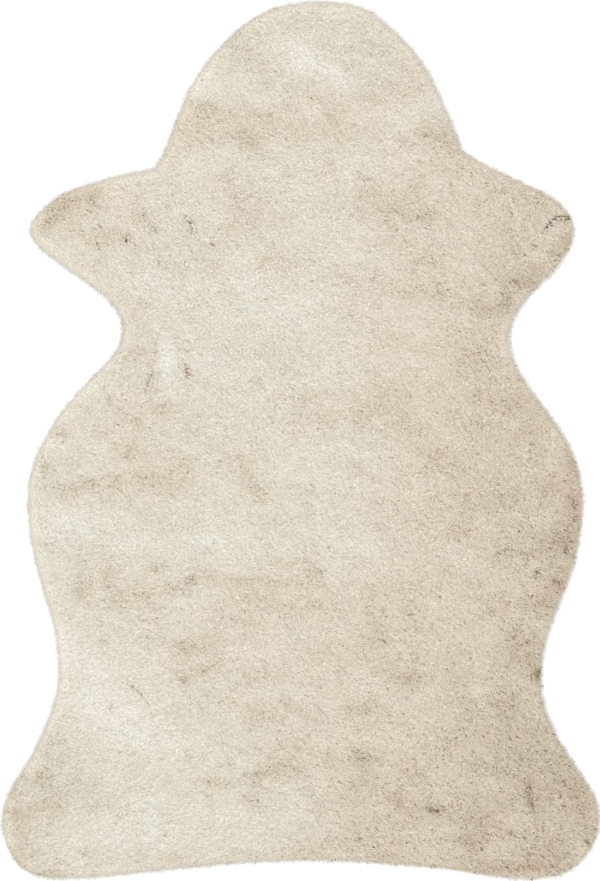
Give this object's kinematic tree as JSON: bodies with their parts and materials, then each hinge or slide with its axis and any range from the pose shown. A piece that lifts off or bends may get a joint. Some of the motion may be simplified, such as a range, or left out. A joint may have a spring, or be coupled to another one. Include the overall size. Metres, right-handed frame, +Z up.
{
  "type": "shag rug",
  "caption": "Small long-pile rug cut to the outline of a sheep's fleece, with a rounded head, short arms, a waist and spread feet; it lies flat on a floor.",
  "frame": {"origin": "on the floor under the middle of the rug's box", "axes": "+Y along the rug towards its head, +Z up out of the pile, +X to the right when the head points away"},
  "size_m": [0.618, 0.907, 0.0248],
  "materials": {
    "pile": "soft matte shag pile, cream with tan and ivory patches"
  },
  "bodies": {
    "root": {"rug": "pile"}
  },
  "joints": []
}
